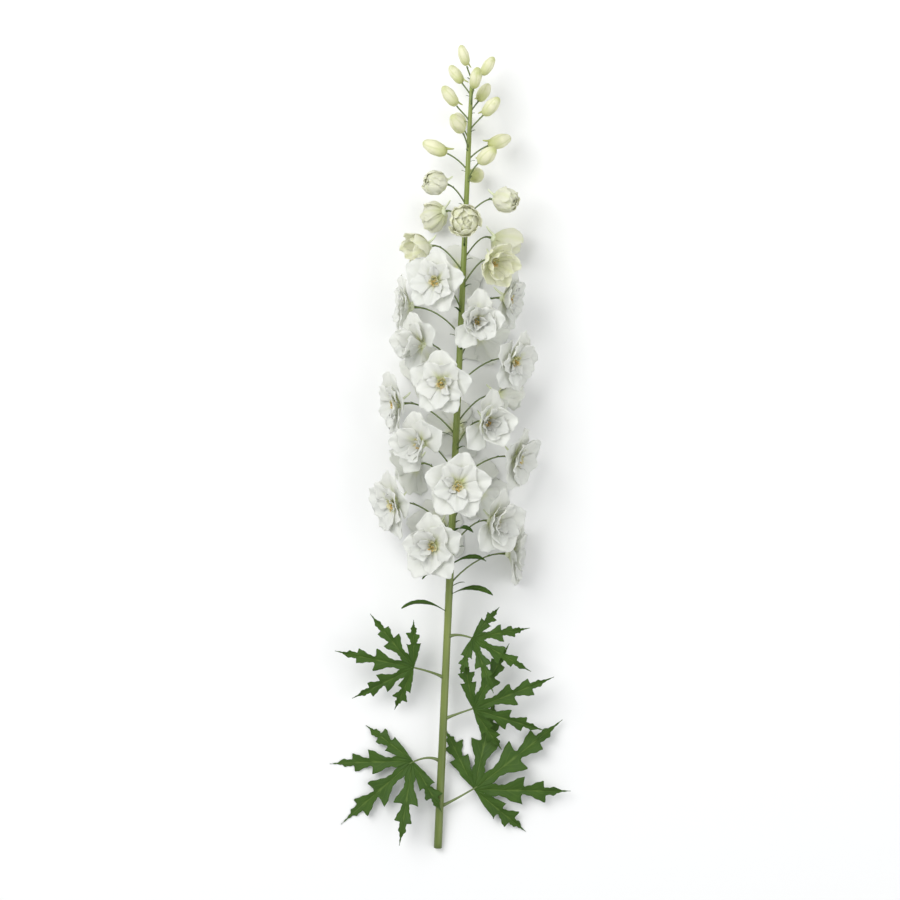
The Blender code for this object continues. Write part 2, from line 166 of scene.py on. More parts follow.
def plan_flowers():
    """Where every floret, opening floret and bud stands, from the lowest up."""
    chance = random.Random(SEED)
    flowers = []
    node = FIRST_NODE
    for kind in KINDS:
        for place in range(kind.count):
            share = place / (kind.count - 1)
            flowers.append(plan_flower(kind, place, share, node, len(flowers), chance))
            node += between(*kind.step, share)
    return flowers


def plan_flower(kind, place, share, node, index, chance):
    turn = FIRST_TURN - GOLDEN_ANGLE * index + chance.uniform(-TURN_PLAY, TURN_PLAY)
    turn -= TURN_TO_LIGHT * math.sin(turn)
    nod = math.radians(between(*kind.nod, share)) + chance.uniform(-TILT_PLAY, TILT_PLAY)
    sway = chance.uniform(-TILT_PLAY, TILT_PLAY)
    roll = chance.uniform(-2, 2) * TURN_PLAY
    rise, out = between(*kind.rise, share), between(*kind.out, share)
    along, outward = stem_along(node), stem_outward(node, turn)
    side = outward.cross(along)
    face = outward * math.cos(nod) - along * math.sin(nod)
    face = face * math.cos(sway) + side * math.sin(sway)
    if kind.kind != "bud":
        face += UP * FACE_TO_LIGHT * (1 - abs(outward.z))
    face.normalize()
    up = (along - face * along.dot(face)).normalized()
    up = up * math.cos(roll) + face.cross(up) * math.sin(roll)
    start = stem_point(node)
    reach = between(*kind.reach, share)
    lowest = LOWEST_HEART
    if kind.kind == "open":
        out += LAYER_DEPTH / 2 * (-1) ** index
    if kind.kind == "bud":
        lowest += max(-face.z, 0) * reach
    if outward.z < 0:
        room = start.z + along.z * rise - lowest
        out = min(out, room / -outward.z)
    return Flower(
        name=f"{kind.name}_{place + 1:02d}",
        kind=kind.kind,
        node=node,
        outward=outward,
        foot=start + along * rise + outward * out,
        face=face,
        up=up,
        reach=reach,
        girth=between(*kind.girth, share),
        openness=between(*kind.openness, share),
    )


flowers = plan_flowers()


def new_points(shape, count_before):
    """The points that a shape has gained since it had that many."""
    shape.verts.ensure_lookup_table()
    return shape.verts[count_before:]


def grow_tube(shape, path, radius, sides, rings, reference=UP, look=0, rib=None):
    """A closed tube along path(t), from a cylinder cut into rings and moved ring by ring."""
    before, faces_before = len(shape.verts), len(shape.faces)
    bmesh.ops.create_cone(
        shape, cap_ends=True, segments=sides, radius1=1, radius2=1, depth=1
    )
    points = new_points(shape, before)
    uprights = dict.fromkeys(
        e for v in points for e in v.link_edges if abs(e.verts[0].co.z - e.verts[1].co.z) > 0.5
    )
    bmesh.ops.subdivide_edges(shape, edges=list(uprights), cuts=rings - 1)
    for point in new_points(shape, before):
        t = point.co.z + 0.5
        angle = math.atan2(point.co.y, point.co.x)
        along = (path(min(t + 0.01, 1)) - path(max(t - 0.01, 0))).normalized()
        across = (reference - along * reference.dot(along)).normalized()
        beside = along.cross(across)
        reach = radius(t) * (rib(t, angle) if rib else 1)
        point.co = path(t) + (across * math.cos(angle) + beside * math.sin(angle)) * reach
    shape.faces.ensure_lookup_table()
    for face in shape.faces[faces_before:]:
        face.material_index = look
        face.smooth = True
    return shape.faces[faces_before:]


class Shade:
    """A value in a material's nodes. Sums on it add Math nodes, and make() adds any other node."""

    def __init__(self, tree, socket=None):
        self.tree = tree
        self.socket = socket

    def make(self, kind, settings=None, sockets=None, out=0):
        node = self.tree.nodes.new(kind)
        for name, value in (settings or {}).items():
            if name == "stops":
                ramp = node.color_ramp.elements
                while len(ramp) < len(value):
                    ramp.new(0.5)
                for stop, (at, colour) in zip(ramp, value):
                    stop.position = at
                    stop.color = colour
            else:
                setattr(node, name, value)
        for name, value in (sockets or {}).items():
            if isinstance(value, Shade):
                self.tree.links.new(value.socket, node.inputs[name])
            else:
                node.inputs[name].default_value = value
        return Shade(self.tree, node.outputs[out])

    def maths(self, operation, *values):
        sockets = dict(enumerate(values))
        return self.make("ShaderNodeMath", {"operation": operation}, sockets)

    def __add__(self, other):
        return self.maths("ADD", self, other)

    def __sub__(self, other):
        return self.maths("SUBTRACT", self, other)

    def __mul__(self, other):
        return self.maths("MULTIPLY", self, other)

    def __truediv__(self, other):
        return self.maths("DIVIDE", self, other)

    def __pow__(self, other):
        return self.maths("POWER", self, other)

    def __rsub__(self, other):
        return self.maths("SUBTRACT", other, self)

    __radd__ = __add__
    __rmul__ = __mul__

    def __abs__(self):
        return self.maths("ABSOLUTE", self)

    def sine(self):
        return self.maths("SINE", self)

    def held(self):
        """The value, held between 0 and 1."""
        return self.make("ShaderNodeClamp", None, {0: self})

    def attribute(self, name):
        return self.make("ShaderNodeAttribute", {"attribute_name": name}, None, "Fac")

    def place(self):
        return self.make("ShaderNodeTexCoord", None, None, "Object")

    def noise(self, scale, detail=3.0, stretch=None):
        where = self.place()
        if stretch:
            where = self.make("ShaderNodeMapping", None, {"Vector": where, "Scale": stretch})
        sockets = {"Vector": where, "Scale": scale, "Detail": detail}
        return self.make("ShaderNodeTexNoise", None, sockets, 0)

    def mix(self, first, second):
        """From the first colour to the second as this value goes from 0 to 1."""
        return self.make(
            "ShaderNodeMix", {"data_type": "RGBA"}, {0: self, 6: first, 7: second}, 2
        )

    def bump(self, strength, distance):
        sockets = {"Height": self, "Strength": strength, "Distance": distance}
        return self.make("ShaderNodeBump", None, sockets)


def material(name, dress, roughness=0.5, glow=None, glow_share=0.0):
    """A surface whose dress(shade, principled inputs) sets its patterns; glow lets light through."""
    made = bpy.data.materials.new(name)
    made.use_nodes = True
    tree = made.node_tree
    shader = tree.nodes["Principled BSDF"]
    shader.inputs["Roughness"].default_value = roughness
    shade = Shade(tree)
    for socket, value in dress(shade).items():
        if isinstance(value, Shade):
            tree.links.new(value.socket, shader.inputs[socket])
        else:
            shader.inputs[socket].default_value = value
    if glow:
        through = shade.make("ShaderNodeBsdfTranslucent", None, {"Color": glow})
        both = shade.make("ShaderNodeMixShader", None, {0: glow_share, 2: through})
        tree.links.new(shader.outputs[0], both.socket.node.inputs[1])
        tree.links.new(both.socket, tree.nodes["Material Output"].inputs["Surface"])
    return made


def finish_piece(name, shape, looks, node):
    """Makes the shape a piece that rides on the spike and stands for its CAD node."""
    mesh = bpy.data.meshes.new(name)
    shape.to_mesh(mesh)
    shape.free()
    piece = bpy.data.objects.new(name, mesh)
    bpy.context.scene.collection.objects.link(piece)
    for look in looks:
        mesh.materials.append(look)
    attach(piece, "root")
    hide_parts(node)
    return piece


STEM_SIDES = 28
STEM_RINGS = 130
STEM_RIBS = 9
RIB_DEPTH = 0.035
CUT_WALL = 0.0013
CUT_DEPTH = 0.012
STALK_SIDES = 7
STALK_RINGS = 9
STALK_RADIUS = 0.00072
STALK_BASE_RADIUS = 0.0011
STALK_END_RADIUS = 0.0013


def stalk_end(flower):
    """Where a flower's stalk stops, just short of the flower."""
    back = 0 if flower.kind == "bud" else HEART_BACK * between(0.72, 1.0, flower.openness)
    return flower.foot - flower.face * (back + JOIN_GAP)


def stalk_path(flower):
    start = stem_point(flower.node)
    end = stalk_end(flower)
    span = (end - start).length
    along = stem_along(flower.node)
    leaving = start + (flower.outward * 0.62 + along * 0.78) * span * 0.36
    arriving = end - flower.face * span * 0.30

    def path(t):
        u = 1 - t
        return start * u**3 + leaving * 3 * u * u * t + arriving * 3 * u * t * t + end * t**3

    return path


def stalk_radius(flower):
    end = STALK_RADIUS * 1.15 if flower.kind == "bud" else STALK_END_RADIUS

    def radius(t):
        base = (STALK_BASE_RADIUS - STALK_RADIUS) * max(1 - t / 0.25, 0) ** 2
        return STALK_RADIUS + base + (end - STALK_RADIUS) * max((t - 0.8) / 0.2, 0) ** 2

    return radius


def add_blade(shape, place, columns, rows, thickness, look=0):
    """A thin closed blade from a grid: place(t, v) gives each point, root to tip, edge to edge."""
    before, faces_before = len(shape.verts), len(shape.faces)
    along = shape.verts.layers.float["along"]
    across = shape.verts.layers.float["across"]
    bmesh.ops.create_grid(shape, x_segments=columns, y_segments=rows, size=0.5)
    for point in new_points(shape, before):
        v, t = 2 * point.co.x, point.co.y + 0.5
        point[along], point[across] = t, v
        point.co = place(t, v)
    shape.faces.ensure_lookup_table()
    sheet = shape.faces[faces_before:]
    for face in sheet:
        face.smooth = True
        face.material_index = look
    # The sheet is doubled and closed at its rim; each side then moves out by half the thickness
    edges = dict.fromkeys(edge for face in sheet for edge in face.edges)
    bmesh.ops.extrude_face_region(shape, geom=sheet + list(edges), use_keep_orig=True)
    shape.normal_update()
    points = new_points(shape, before)
    for point in points:
        point.co += point.normal * (thickness / 2)
    return points


def new_shape():
    shape = bmesh.new()
    for layer in ("along", "across", "tone"):
        shape.verts.layers.float.new(layer)
    return shape


def scale_leaf(start, outward, along, length, half_width, droop):
    """The surface of a short narrow leaf that leaves a stalk and arches over."""
    side = outward.cross(along)

    def place(t, v):
        width = half_width * math.sin(math.pi * min(t * 0.9 + 0.1, 1)) ** 0.6
        centre = start + outward * length * t * (1 - 0.15 * t)
        centre += along * length * (0.62 * t - droop * t * t)
        fold = (outward + along) * abs(v) * width * 0.35
        return pressed(centre + side * width * v + fold, TABLE_SKIN)

    return place


# Narrow leaves below the lowest florets: node, turn in degrees, length
BRACTS = (
    (0.220, -70, 0.052),
    (0.236, 66, 0.050),
    (0.250, -40, 0.044),
    (0.264, 112, 0.040),
    (0.278, -104, 0.040),
    (0.294, 40, 0.034),
)
BRACT_TWIST = math.radians(62)
BRACT_WIDTH = 0.082


def bract_point(node, turn, length, t, across, fold=0.0):
    """A point of a narrow leaf that arches out and down, and turns its face to the light."""
    outward, along = stem_outward(node, math.radians(turn)), stem_along(node)
    middle = stem_point(node) + outward * (stem_radius(node) * 0.4 + length * t * (1 - 0.15 * t))
    middle += along * length * (0.62 * t - 0.55 * t * t)
    twist = BRACT_TWIST * smooth(t / 0.6)
    side = outward.cross(along)
    back = (outward * 0.7 - along * 0.5).cross(side)
    flat = side * math.cos(twist) + back * math.sin(twist)
    lifted = back * math.cos(twist) - side * math.sin(twist)
    return pressed(middle + flat * across + lifted * fold, TABLE_SKIN)


def bract_surface(node, turn, length, chance):
    phase = chance.uniform(0, 6)

    def place(t, v):
        grown = between(0.36, 1.0, smooth(t / 0.45)) * max(1 - t**3.2, 0) ** 0.8
        width = length * BRACT_WIDTH * grown * (1 + 0.05 * math.sin(t * 40 + 9 * v))
        fold = -abs(v) * width * 0.4 + 0.0006 * math.sin(9 * t + phase) * v
        return bract_point(node, turn, length, t, width * v, fold)

    return place


def make_stem():
    chance = random.Random(f"{SEED} stem")
    shape = new_shape()
    swellings = [flower.node for flower in flowers] + [bract[0] for bract in BRACTS]

    def rib(t, angle):
        s = t * STEM_LENGTH
        swell = sum(0.10 * math.exp(-(((s - node) / 0.003) ** 2)) for node in swellings)
        return 1 + RIB_DEPTH * math.cos(STEM_RIBS * angle) + 0.6 * swell

    faces = grow_tube(
        shape,
        lambda t: stem_point(t * STEM_LENGTH),
        lambda t: stem_radius(t * STEM_LENGTH) * (1 - 0.6 * max(t - 0.985, 0) / 0.015),
        STEM_SIDES,
        STEM_RINGS,
        rib=rib,
    )
    shape.normal_update()
    cut = min((f for f in faces if len(f.verts) == STEM_SIDES), key=lambda f: f.calc_center_median().y)
    cut.smooth = False
    rim = bmesh.ops.inset_region(shape, faces=[cut], thickness=CUT_WALL, depth=0)
    for face in rim["faces"]:
        face.material_index = 3
        face.smooth = False
    well = bmesh.ops.extrude_discrete_faces(shape, faces=[cut])["faces"][0]
    well.material_index = 3
    for point in well.verts:
        point.co += stem_along(0) * CUT_DEPTH
    for edge in well.edges:
        for face in edge.link_faces:
            face.material_index = 3
    for flower in flowers:
        path = stalk_path(flower)
        grow_tube(shape, path, stalk_radius(flower), STALK_SIDES, STALK_RINGS, flower.up, look=1)
        along, outward = stem_along(flower.node), flower.outward
        start = stem_point(flower.node) + outward * stem_radius(flower.node) * 0.6 - along * 0.0015
        size = {"open": 0.013, "opening": 0.010, "bud": 0.006}[flower.kind]
        size *= chance.uniform(0.8, 1.25)
        leaf = scale_leaf(start, outward, along, size, size * 0.08, 0.35)
        add_blade(shape, leaf, 2, 6, 0.0003, look=2)
        for place in (-1, 1):
            at = between(0.62, 0.78, chance.random())
            stem = path(at)
            forward = (path(at + 0.03) - path(at)).normalized()
            away = (forward.cross(flower.up) * place + flower.up * 0.2).normalized()
            leaf = scale_leaf(stem, away * 0.55 + forward * 0.5, forward, size * 0.42, size * 0.04, 0.1)
            add_blade(shape, leaf, 2, 4, 0.00025, look=2)
    for node, turn, length in BRACTS:
        add_blade(shape, bract_surface(node, turn, length, chance), 8, 26, 0.0005, look=2)
    return shape


def stem_dress(shade):
    low = shade.make(
        "ShaderNodeMapRange",
        None,
        {0: shade.make("ShaderNodeSeparateXYZ", None, {0: shade.place()}, 1), 1: -0.3, 2: 0.25},
    )
    patchy = shade.noise(60, 4.0, (1, 0.12, 1))
    fresh = low.mix((0.120, 0.165, 0.032, 1), (0.225, 0.285, 0.050, 1))
    colour = ((patchy - 0.42) * 2.2).held().mix(fresh, (0.29, 0.33, 0.09, 1))
    lines = shade.noise(900, 2.0, (1, 0.02, 1))
    return {
        "Base Color": (lines * 0.35).mix(colour, (0.10, 0.15, 0.03, 1)),
        "Normal": (lines * 0.6 + patchy * 0.4).bump(0.35, 0.0004),
    }


def stalk_dress(shade):
    patchy = shade.noise(140, 3.0)
    colour = patchy.mix((0.085, 0.115, 0.03, 1), (0.17, 0.23, 0.07, 1))
    return {"Base Color": colour, "Normal": patchy.bump(0.2, 0.0002)}


def leaf_dress(shade):
    along, across = shade.attribute("along"), abs(shade.attribute("across"))
    rib = (1 - across * 9).held()
    side_veins = ((along * 62 + across * -16).sine() * 4 - 3).held() * (1 - across).held() * 0.5
    veins = (rib + side_veins).held()
    patchy = shade.noise(70, 4.0)
    blade = patchy.mix((0.026, 0.070, 0.006, 1), (0.070, 0.145, 0.016, 1))
    fine = shade.noise(500, 3.0)
    return {
        "Base Color": (veins * 0.5).mix(blade, (0.17, 0.26, 0.05, 1)),
        "Roughness": 0.52 + patchy * 0.25,
        "Specular IOR Level": 0.3,
        "Normal": (fine * 0.3 - veins * 0.7).bump(0.5, 0.0004),
    }


def flesh_dress(shade):
    grain = shade.noise(1400, 3.0)
    return {"Base Color": grain.mix((0.42, 0.50, 0.22, 1), (0.62, 0.68, 0.42, 1))}


stem_skin = material("stem_skin", stem_dress, 0.45)
stalk_skin = material("flower_stalk", stalk_dress, 0.5)
leaf_skin = material("leaf_blade", leaf_dress, 0.5, (0.14, 0.24, 0.015, 1), 0.15)
cut_flesh = material("cut_stem_flesh", flesh_dress, 0.6)
finish_piece(
    "spike_stem", make_stem(), (stem_skin, stalk_skin, leaf_skin, cut_flesh), "stem"
)

# The open florets: two whorls of soft white petals with a few narrow ones inside, cream and
# green at their roots. In the middle stand seven small cream petals over a tuft of stamens,
# and a closed spur runs back behind them. Each sits in its own share of the space.

WHORL = 5
PETAL_ROOT = 0.0024
WIDEST_AT = 0.62
CLEARANCE = 0.0009
INNER_STACK = 0.0022
LAYERING = 4
MOST_LEAN = 1.0
LIFT_STEP = math.radians(4)
MOST_LIFTS = 16
SHRINKS = (1.0, 0.93, 0.86, 0.79, 0.72)
FEWEST_OPENNESS = 0.55
COARSE_ROOT_WIDTH = 0.13
COARSE_ROWS = (0.42, 0.82)

Petal = namedtuple("Petal", "turn length half_width base lift bend wrap cup twist table")


def middle(flower):
    """The middle of the space that a flower fills."""
    depth = {"open": 0.005, "opening": flower.reach * 0.42, "bud": flower.reach * 0.5}
    return flower.foot + flower.face * depth[flower.kind]


def wall_direction(flower, other, gap):
    """Square to the gap between two flowers, but leaning where one stands further out, so that
    the petals of the outer flower may lie over those of the inner one."""
    radial = flower.outward + other.outward
    if radial.length < 1.2:
        return gap.normalized()
    radial.normalize()
    depth = gap.dot(radial)
    level = gap - radial * depth
    lean = min(max(LAYERING * depth / level.length, -MOST_LEAN), MOST_LEAN)
    return (level.normalized() + radial * lean).normalized()


def walls_round(flower):
    """The flat walls of a flower's share of the space, as (direction, distance) from its middle."""
    walls = []
    here = middle(flower)
    for other in flowers:
        gap = middle(other) - here
        if other is flower or gap.length > 0.1:
            continue
        share = flower.girth / (flower.girth + other.girth)
        way = wall_direction(flower, other, gap)
        walls.append((way, gap.dot(way) * share - CLEARANCE))
    return walls


def petal_place(flower, petal, t, across, lift_off=0.0):
    """A point of a petal's middle surface: t of the way out, across metres from its midline."""
    right = flower.up.cross(flower.face)
    out = right * math.cos(petal.turn) + flower.up * math.sin(petal.turn)
    side = flower.face.cross(out)
    length = petal.length - PETAL_ROOT
    first = petal.lift + petal.bend / 2
    last = first - petal.bend * t
    reach = PETAL_ROOT + length * (math.sin(first) - math.sin(last)) / petal.bend
    height = petal.base + length * (math.cos(last) - math.cos(first)) / petal.bend
    over = flower.face * math.cos(last) - out * math.sin(last)
    v = across / petal.half_width
    curl = max(reach, petal.half_width) / petal.wrap
    angle = across / curl
    point = flower.foot + out * (reach - curl * (1 - math.cos(angle))) + flower.face * height
    point += side * curl * math.sin(angle)
    point += over * (petal.cup * v * v * petal.half_width * t + lift_off)
    point += over * math.sin(petal.twist) * across * t
    return pressed(point, petal.table)


def whorls(flower):
    """The nominal outer and inner petals of an open or opening flower."""
    chance = random.Random(f"{SEED} {flower.name}")
    openness = flower.openness
    facing_down = max(-flower.face.z, 0)
    petals = []
    for inner in (False, True):
        if inner and openness < FEWEST_OPENNESS:
            continue
        for place in range(WHORL):
            turn = math.radians(90 + (36 if inner else 0) + 72 * place + chance.uniform(-5, 5))
            lift = between(110, 15, openness) + (11 if inner else 0) + chance.uniform(-5, 5)
            bend = between(-185, 26, openness) + chance.uniform(-6, 6)
            size = (0.78 if inner else 1.0) * chance.uniform(0.95, 1.03)
            width = between(0.27, 0.375, openness) * (0.92 if inner else 1.0)
            petals.append(
                Petal(
                    turn=turn,
                    length=flower.reach * size,
                    half_width=flower.reach * size * width,
                    base=0.0012 if inner else -0.0012,
                    lift=math.radians(lift),
                    bend=math.radians(bend),
                    wrap=between(0.95, 0.3, openness),
                    cup=between(0.0, 0.16, openness),
                    twist=math.radians(chance.uniform(2, 9)),
                    table=TABLE_SKIN + (0 if inner else INNER_STACK * facing_down),
                )
            )
    return petals


def coarse_width(petal, t):
    grown = between(COARSE_ROOT_WIDTH, 1.0, smooth(t / WIDEST_AT))
    past = max(t - WIDEST_AT, 0) / (1 - WIDEST_AT)
    return petal.half_width * grown * math.sqrt(max(1 - past**2.2, 0))


def fits(flower, petal, walls):
    here = middle(flower)
    spots = [(t, v) for t in COARSE_ROWS for v in (-1, 0, 1)] + [(0.93, -0.8), (0.93, 0.8), (1, 0)]
    points = [petal_place(flower, petal, t, v * coarse_width(petal, t)) for t, v in spots]
    return all((p - here).dot(way) <= far for p in points for way, far in walls)


def fitted(flower, petal, walls, least_lift=0.0):
    """The petal, raised and if need be shortened until it stays within its flower's share."""
    for shrink in SHRINKS:
        for step in range(MOST_LIFTS):
            tried = petal._replace(
                length=petal.length * shrink,
                half_width=petal.half_width * (0.5 + 0.5 * shrink),
                lift=petal.lift + least_lift + step * LIFT_STEP,
            )
            if fits(flower, tried, walls):
                return tried
    return tried


def flower_petals(flower, walls):
    """The fitted petals: an inner petal rises at least as far as the outer ones beside it."""
    nominal = whorls(flower)
    outer = [fitted(flower, p, walls) for p in nominal[:WHORL]]
    rises = [now.lift - then.lift for now, then in zip(outer, nominal)]
    inner = []
    for place, petal in enumerate(nominal[WHORL:]):
        least = 0.8 * max(rises[place], rises[(place + 1) % WHORL])
        inner.append(fitted(flower, petal, walls, least))
    return outer + inner


PETAL_COLUMNS = 14
PETAL_ROWS = 17
PETAL_THICKNESS = 0.00035
WALL_SOFTNESS = 0.0016
TIP_ROUND = 0.24
TIP_WIDTH = 0.72
TIP_POINT = 0.045
ROOT_WIDTH = 0.20
RUFFLE = 0.0014
CREASE = 0.0005
FAN = math.radians(4)


def held_in(point, here, walls):
    """The point, kept within its flower's share of the space and easing against its walls."""
    for way, far in walls:
        past = (point - here).dot(way) - far + WALL_SOFTNESS
        if past > 0:
            held = WALL_SOFTNESS * (1 - math.exp(-past / WALL_SOFTNESS))
            point = point - way * (past - held)
    return point


def soft_petal(flower, petal, chance, walls, ruffle=1.0, widen=1.2):
    """The surface of a real petal: round-tipped with a small point, creased and a little waved."""
    phase = [chance.uniform(0, 2 * math.pi) for _ in range(6)]
    waves = chance.uniform(1.2, 2.0)
    point_side = chance.uniform(-0.2, 0.2)
    full = chance.uniform(0.94, 1.05) * widen
    here = middle(flower)
    fanned = petal._replace(twist=petal.twist + FAN)

    def place(t, v):
        grown = between(ROOT_WIDTH, 1.0, smooth(t / 0.74) ** 0.8)
        closing = between(1.0, TIP_WIDTH, smooth((t - 0.68) / 0.32))
        edge_play = 1 + 0.055 * t * math.sin(10 * t + phase[4]) * (1 if v > 0 else -1)
        width = petal.half_width * full * grown * closing * edge_play
        along = t - TIP_ROUND * t**3 * abs(v) ** 2.2
        along += TIP_POINT * t**6 * (math.exp(-(((v - point_side) / 0.2) ** 2)) - 0.5)
        along += 0.024 * t**4 * math.sin(6.1 * v + phase[0])
        along += 0.013 * t**5 * math.sin(14 * v + phase[5])
        along += 0.006 * t**6 * math.sin(21 * v + phase[2])
        along = min(along, 1.0)
        wave = v * v * t * t * math.sin(waves * 6.3 * along + phase[1] + (1.4 if v > 0 else 0))
        lift = RUFFLE * ruffle * (wave + 0.8 * t**4 * math.sin(6.5 * v + phase[2]))
        fine = math.sin(math.pi * min(along * 1.1, 1))
        lift += CREASE * (1 - v * v) * math.cos(7.5 * v + phase[3]) * fine
        lift += CREASE * 0.4 * math.cos(17 * v + phase[0] + 2 * t) * fine * t
        lift -= CREASE * 1.5 * math.exp(-((v / 0.16) ** 2)) * math.sin(math.pi * along)
        point = petal_place(flower, fanned, along, v * width, lift)
        return held_in(point, here, walls)

    return place


def add_petal(shape, place, tone, columns=PETAL_COLUMNS, rows=PETAL_ROWS, thickness=PETAL_THICKNESS, look=0):
    layer = shape.verts.layers.float["tone"]
    for point in add_blade(shape, place, columns, rows, thickness, look):
        point[layer] = tone


HEART_PROFILE = ((0.0, 0.0019), (0.25, 0.0034), (0.5, 0.0042), (0.78, 0.0036), (1.0, 0.0026))
HEART_HEIGHT = 0.0062
SPUR_LENGTH = 0.015
SPUR_RADIUS = 0.0016
SPUR_TIP_RADIUS = 0.0007


def add_heart(shape, flower):
    """The green-white receptacle that the petals spring from."""
    size = between(0.72, 1.0, flower.openness)
    low = flower.foot - flower.face * HEART_BACK * size

    def radius(t):
        for (start, first), (end, second) in zip(HEART_PROFILE, HEART_PROFILE[1:]):
            if t <= end:
                return between(first, second, smooth((t - start) / (end - start))) * size
        return HEART_PROFILE[-1][1] * size

    path = lambda t: low + flower.face * HEART_HEIGHT * size * t
    grow_tube(shape, path, radius, 12, 8, flower.up, look=2)


def add_spur(shape, flower):
    """The closed spur behind the petals, bowed a little towards the stem's tip."""
    length = SPUR_LENGTH * between(0.8, 1.0, flower.openness)
    start = flower.foot + flower.up * 0.0030

    def path(t):
        return start - flower.face * length * (1.0 * t - 0.12 * t * t) + flower.up * length * (
            0.22 * t + 0.20 * t * t
        )

    def radius(t):
        tip = math.sqrt(max(1 - ((t - 0.9) / 0.1) ** 2, 0.02)) if t > 0.9 else 1
        return between(SPUR_RADIUS, SPUR_TIP_RADIUS, t**0.8) * tip

    grow_tube(shape, path, radius, 9, 12, flower.face, look=2)


PETALOIDS = 3
UPPER_PETAL = 0.75
STAMENS = 10
STAMEN_LENGTH = 0.0052
ANTHER_LENGTH = 0.0008

# The tuft in a floret's middle: turn in degrees, lift in degrees, length and half width in mm
TUFT = (
    (70, 62, 8.8, 2.2),
    (112, 64, 8.6, 2.2),
    (92, 50, 6.6, 1.8),
    (-24, 58, 8.0, 2.6),
    (205, 58, 8.0, 2.6),
    (-62, 66, 6.2, 1.9),
    (242, 66, 6.2, 1.9),
)


def small_petal(turn, lift, length, half_width, base, bend, wrap=0.9, cup=0.2):
    return Petal(
        turn=math.radians(turn),
        length=length,
        half_width=half_width,
        base=base,
        lift=math.radians(lift),
        bend=math.radians(bend),
        wrap=wrap,
        cup=cup,
        twist=0.05,
        table=0.0003,
    )


def add_petaloids(shape, flower, chance, petals, walls):
    """A few narrow, crumpled petals inside the second whorl."""
    inner = petals[WHORL:]
    chosen = chance.sample(inner, PETALOIDS) if inner else []
    for near in chosen:
        turn = math.degrees(near.turn) + 36 + chance.uniform(-14, 14)
        lift = math.degrees(near.lift) + chance.uniform(4, 20)
        length = near.length * chance.uniform(0.45, 0.72)
        bend = 26 + chance.uniform(-20, 20)
        petal = small_petal(turn, lift, length, length * 0.27, 0.0022, bend)
        surface = soft_petal(flower, petal, chance, walls, 1.2)
        add_petal(shape, surface, chance.uniform(0.3, 0.8), 6, 9)


def add_tuft(shape, flower, chance, walls):
    """Small cream petals round a few stamens with ochre anthers."""
    size = between(0.8, 1.0, flower.openness)
    for turn, lift, length, half_width in TUFT:
        petal = small_petal(
            turn + chance.uniform(-8, 8),
            lift + chance.uniform(-7, 7),
            length * 0.001 * size,
            half_width * 0.001 * size,
            0.0026,
            -20 + chance.uniform(-14, 14),
            wrap=1.2,
        )
        surface = soft_petal(flower, petal, chance, walls, 0.6)
        tone = chance.uniform(0.7, 1.0) if 60 < turn < 120 else chance.uniform(0, 0.25)
        add_petal(shape, surface, tone, 5, 7, 0.0003, look=1)
    right = flower.up.cross(flower.face)
    for place in range(STAMENS):
        angle = math.radians(chance.uniform(0, 360))
        spread = chance.uniform(0.10, 0.50)
        aside = right * math.cos(angle) + flower.up * math.sin(angle)
        way = (flower.face + aside * spread - flower.up * 0.16).normalized()
        root = flower.foot + flower.face * 0.0018 * size + aside * 0.0011
        length = STAMEN_LENGTH * size * chance.uniform(0.75, 1.1)
        droop = flower.up * -length * chance.uniform(0.05, 0.3)
        path = lambda t: root + way * length * t + droop * t * t
        grow_tube(shape, path, lambda t: between(0.00028, 0.00018, t), 4, 2, flower.up, look=1)
        before, faces_before = len(shape.verts), len(shape.faces)
        bmesh.ops.create_icosphere(shape, subdivisions=1, radius=ANTHER_LENGTH)
        for point in new_points(shape, before):
            x, y, z = point.co
            point.co = path(1.0) + right * x * 0.62 + flower.up * y + flower.face * z * 0.72
        shape.faces.ensure_lookup_table()
        for face in shape.faces[faces_before:]:
            face.smooth = True
            face.material_index = 3


def make_floret(flower):
    chance = random.Random(f"{SEED} soft {flower.name}")
    shape = new_shape()
    walls = walls_round(flower)
    petals = flower_petals(flower, walls)
    walls.append((UP, cad_high[2] - middle(flower).z))
    for petal in petals:
        tone = chance.random() + (1 if math.sin(petal.turn) > UPPER_PETAL else 0)
        add_petal(shape, soft_petal(flower, petal, chance, walls), tone)
    add_petaloids(shape, flower, chance, petals, walls)
    add_tuft(shape, flower, chance, walls)
    add_heart(shape, flower)
    add_spur(shape, flower)
    return shape


def petal_dress(shade):
    along, across = shade.attribute("along"), shade.attribute("across")
    tone = shade.attribute("tone")
    soft = shade.noise(55, 3.0)
    throat = (1 - along * 2.9 + (soft - 0.5) * 0.6).held() ** 1.2
    upper = ((tone - 1) * 50).held()
    streak = (1 - along * 1.7).held() * (1 - abs(across) * 1.5).held() * upper
    rib = (1 - abs(across) * 5.5).held() * (1 - along * 1.25).held()
    veins = ((across * 31 + (soft - 0.5) * 3).sine() * 2.4 - 1.3).held() * (1 - along * 0.6).held()
    pale = (tone * 0.6 + soft * 0.5).held().mix((0.82, 0.83, 0.81, 1), (0.90, 0.90, 0.87, 1))
    veined = (veins * 0.16).mix(pale, (0.72, 0.75, 0.66, 1))
    ribbed = (rib * 0.35).mix(veined, (0.70, 0.76, 0.50, 1))
    return {
        "Base Color": (throat + streak).held().mix(ribbed, (0.70, 0.74, 0.34, 1)),
        "Roughness": 0.5 + soft * 0.2,
        "Normal": (soft * 0.5 - veins * 0.35).bump(0.4, 0.0005),
    }


